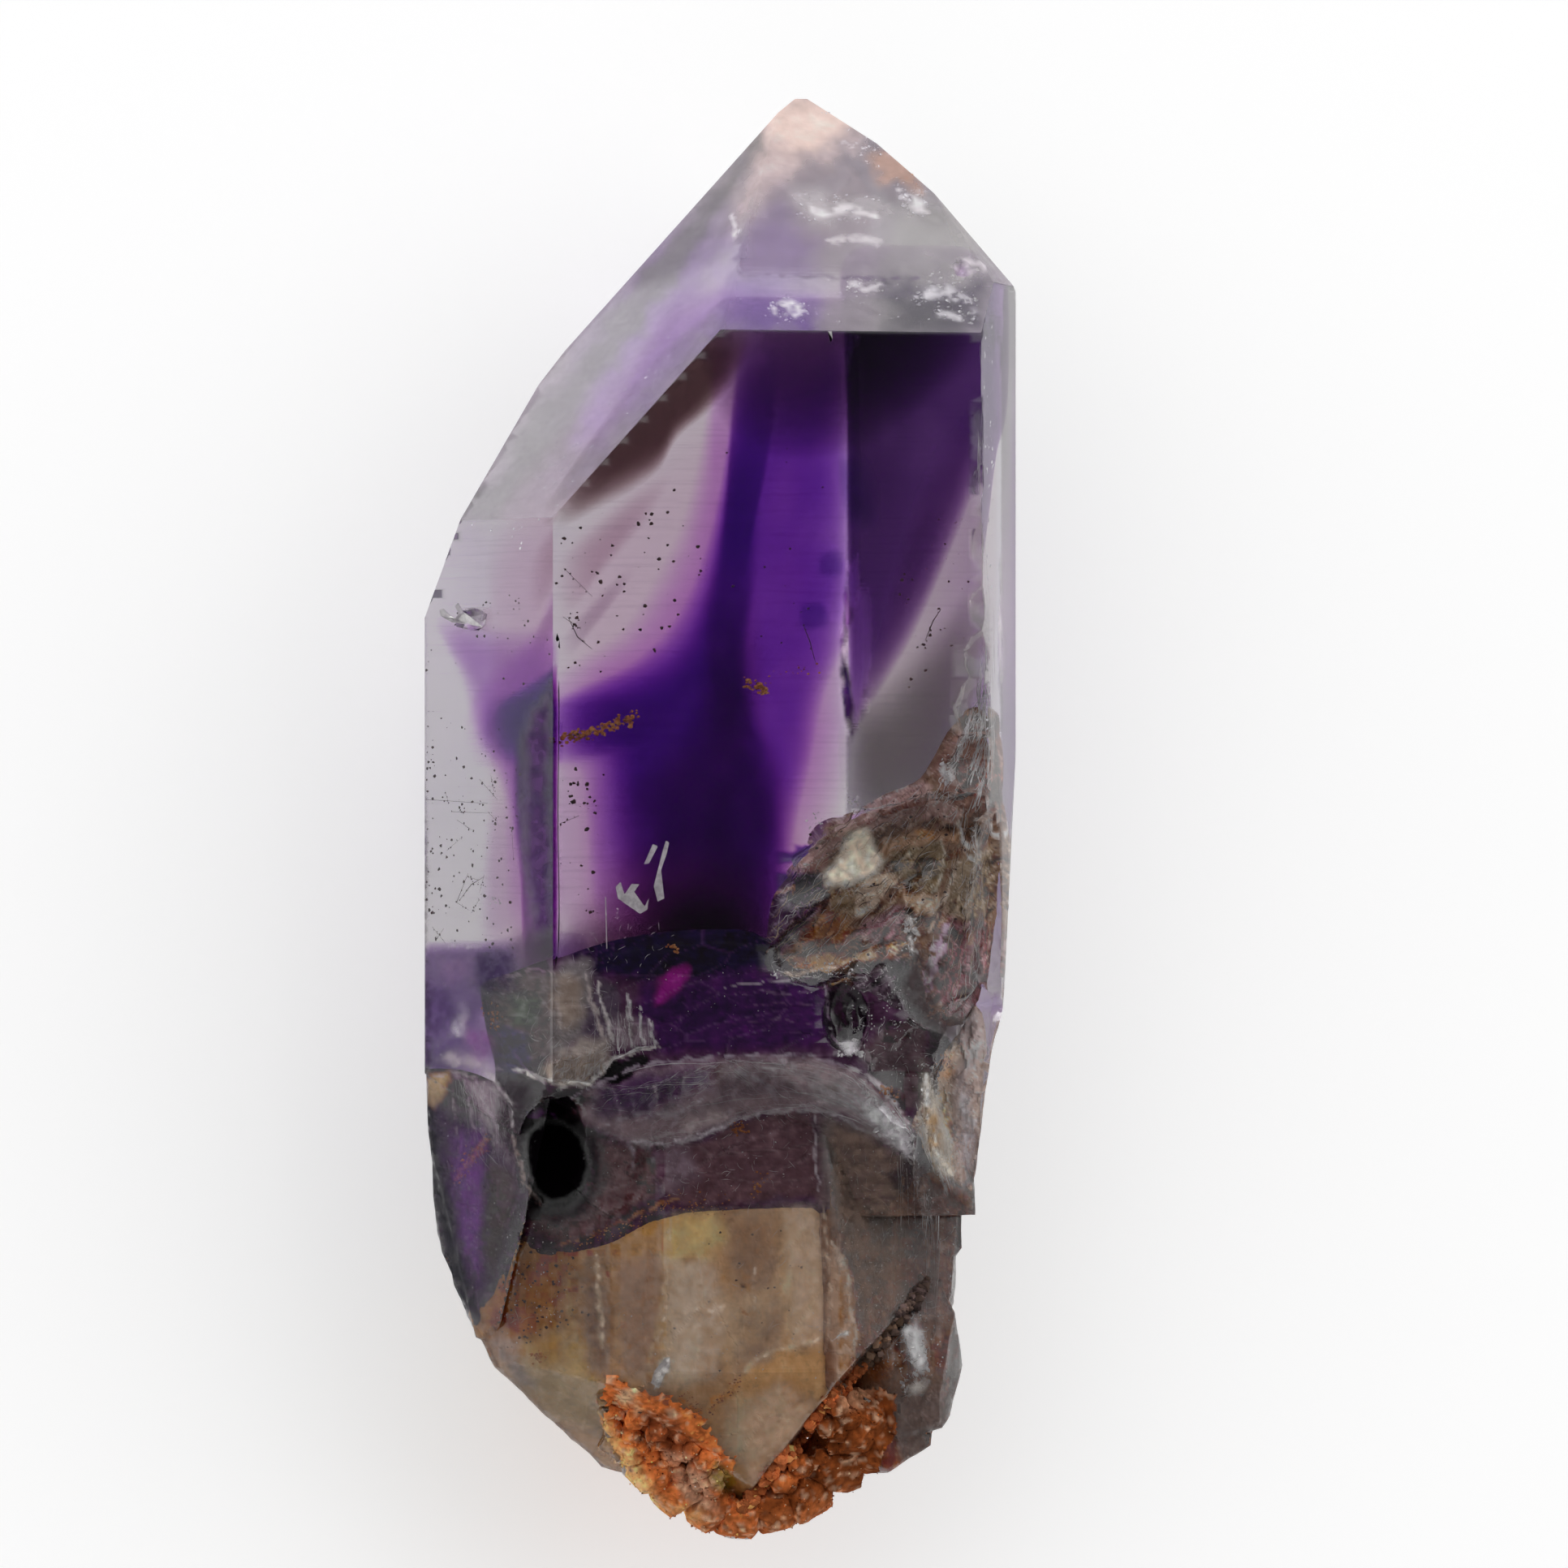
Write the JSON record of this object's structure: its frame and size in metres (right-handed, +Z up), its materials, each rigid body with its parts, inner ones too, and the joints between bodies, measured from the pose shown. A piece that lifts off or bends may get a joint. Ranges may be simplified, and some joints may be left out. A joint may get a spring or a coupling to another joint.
{
  "type": "amethyst scepter crystal",
  "caption": "Violet quartz scepter: a prismatic, pointed crystal head grown over the end of a smaller, iron-stained stem. A mineral specimen that lies on its back face.",
  "frame": {"origin": "middle of the bottom of the bounding box, on the surface the crystal lies on", "axes": "+Y along the crystal from the stem to the tip, +Z up out of the front face, +X to the right of the front face"},
  "size_m": [0.0212, 0.0512, 0.0131],
  "materials": {
    "amethyst": "clear violet quartz, bright side faces, frosted end faces and rough breaks"
  },
  "bodies": {
    "root": {"amethyst_scepter": "amethyst"}
  },
  "joints": []
}
